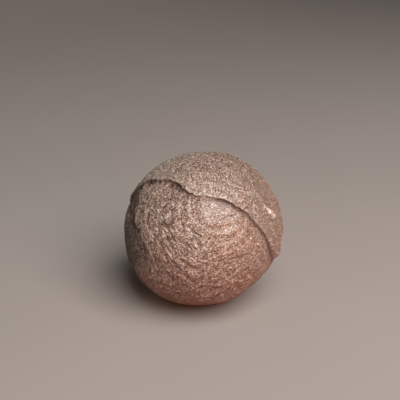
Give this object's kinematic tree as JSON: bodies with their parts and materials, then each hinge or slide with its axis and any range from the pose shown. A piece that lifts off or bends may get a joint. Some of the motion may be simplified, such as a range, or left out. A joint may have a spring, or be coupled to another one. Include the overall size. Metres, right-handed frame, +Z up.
{
  "type": "moqui marble",
  "caption": "Near-round brown iron-oxide concretion with a ledge where its outer layer overlaps the front, resting on a small flat spot.",
  "frame": {"origin": "middle of the small flat spot that it rests on", "axes": "+Z up; -Y towards the front, where the ledge crosses the upper part; +X to the right as seen from the front"},
  "size_m": [0.04, 0.039, 0.0387],
  "materials": {
    "iron_oxide_rind": "sandy iron-oxide rind, dark reddish brown with a soft grey mineral sheen"
  },
  "bodies": {
    "root": {"concretion": "iron_oxide_rind"}
  },
  "joints": []
}
